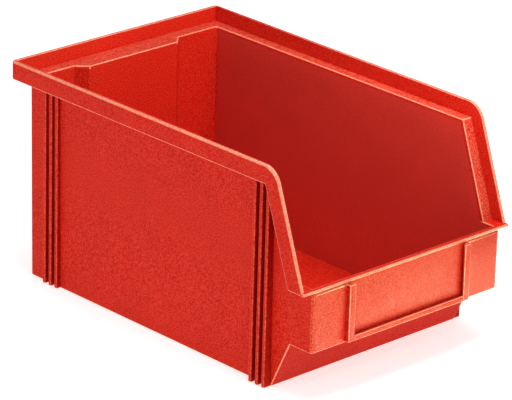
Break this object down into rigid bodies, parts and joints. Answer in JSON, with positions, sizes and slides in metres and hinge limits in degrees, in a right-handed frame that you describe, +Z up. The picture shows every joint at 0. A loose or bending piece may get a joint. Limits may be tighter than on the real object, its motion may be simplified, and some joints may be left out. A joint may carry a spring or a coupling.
{
  "type": "stackable storage bin",
  "caption": "Open-fronted stacking bin with a sloping collar, an inner stacking shoulder, side ribs and a slotted label holder on the low front.",
  "frame": {"origin": "centre of the bounding box's footprint, on the plane the bin stands on", "axes": "+Z up, -Y out of the low open front with the label panel, +X to the right of someone facing that front from behind the bin (the bin is mirrored about X = 0)"},
  "size_m": [0.15, 0.234, 0.124],
  "materials": {
    "body_plastic": "fine moulded grain outside",
    "inner_plastic": "smoother moulded surface inside"
  },
  "bodies": {
    "root": {"floor": "body_plastic", "foot_panel": "body_plastic", "nose_underside": "body_plastic", "front_panel": "body_plastic", "wall_left": "body_plastic", "wall_right": "body_plastic", "nose_wall_left": "body_plastic", "nose_wall_right": "body_plastic", "rear_wall_left": "body_plastic", "rear_wall_right": "body_plastic", "rear_recess": "body_plastic", "collar_left": "body_plastic", "collar_right": "body_plastic", "collar_rear": "body_plastic", "collar_slope_left": "body_plastic", "collar_slope_right": "body_plastic", "shoulder_left": "body_plastic", "shoulder_right": "body_plastic", "shoulder_slope_left": "body_plastic", "shoulder_slope_right": "body_plastic", "shoulder_rear": "body_plastic", "front_lip": "body_plastic", "ribs_front_left": "body_plastic", "ribs_front_right": "body_plastic", "ribs_rear_left": "body_plastic", "ribs_rear_right": "body_plastic", "label_rib_left": "body_plastic", "label_rib_right": "body_plastic", "label_rib_bottom": "body_plastic"}
  },
  "joints": []
}
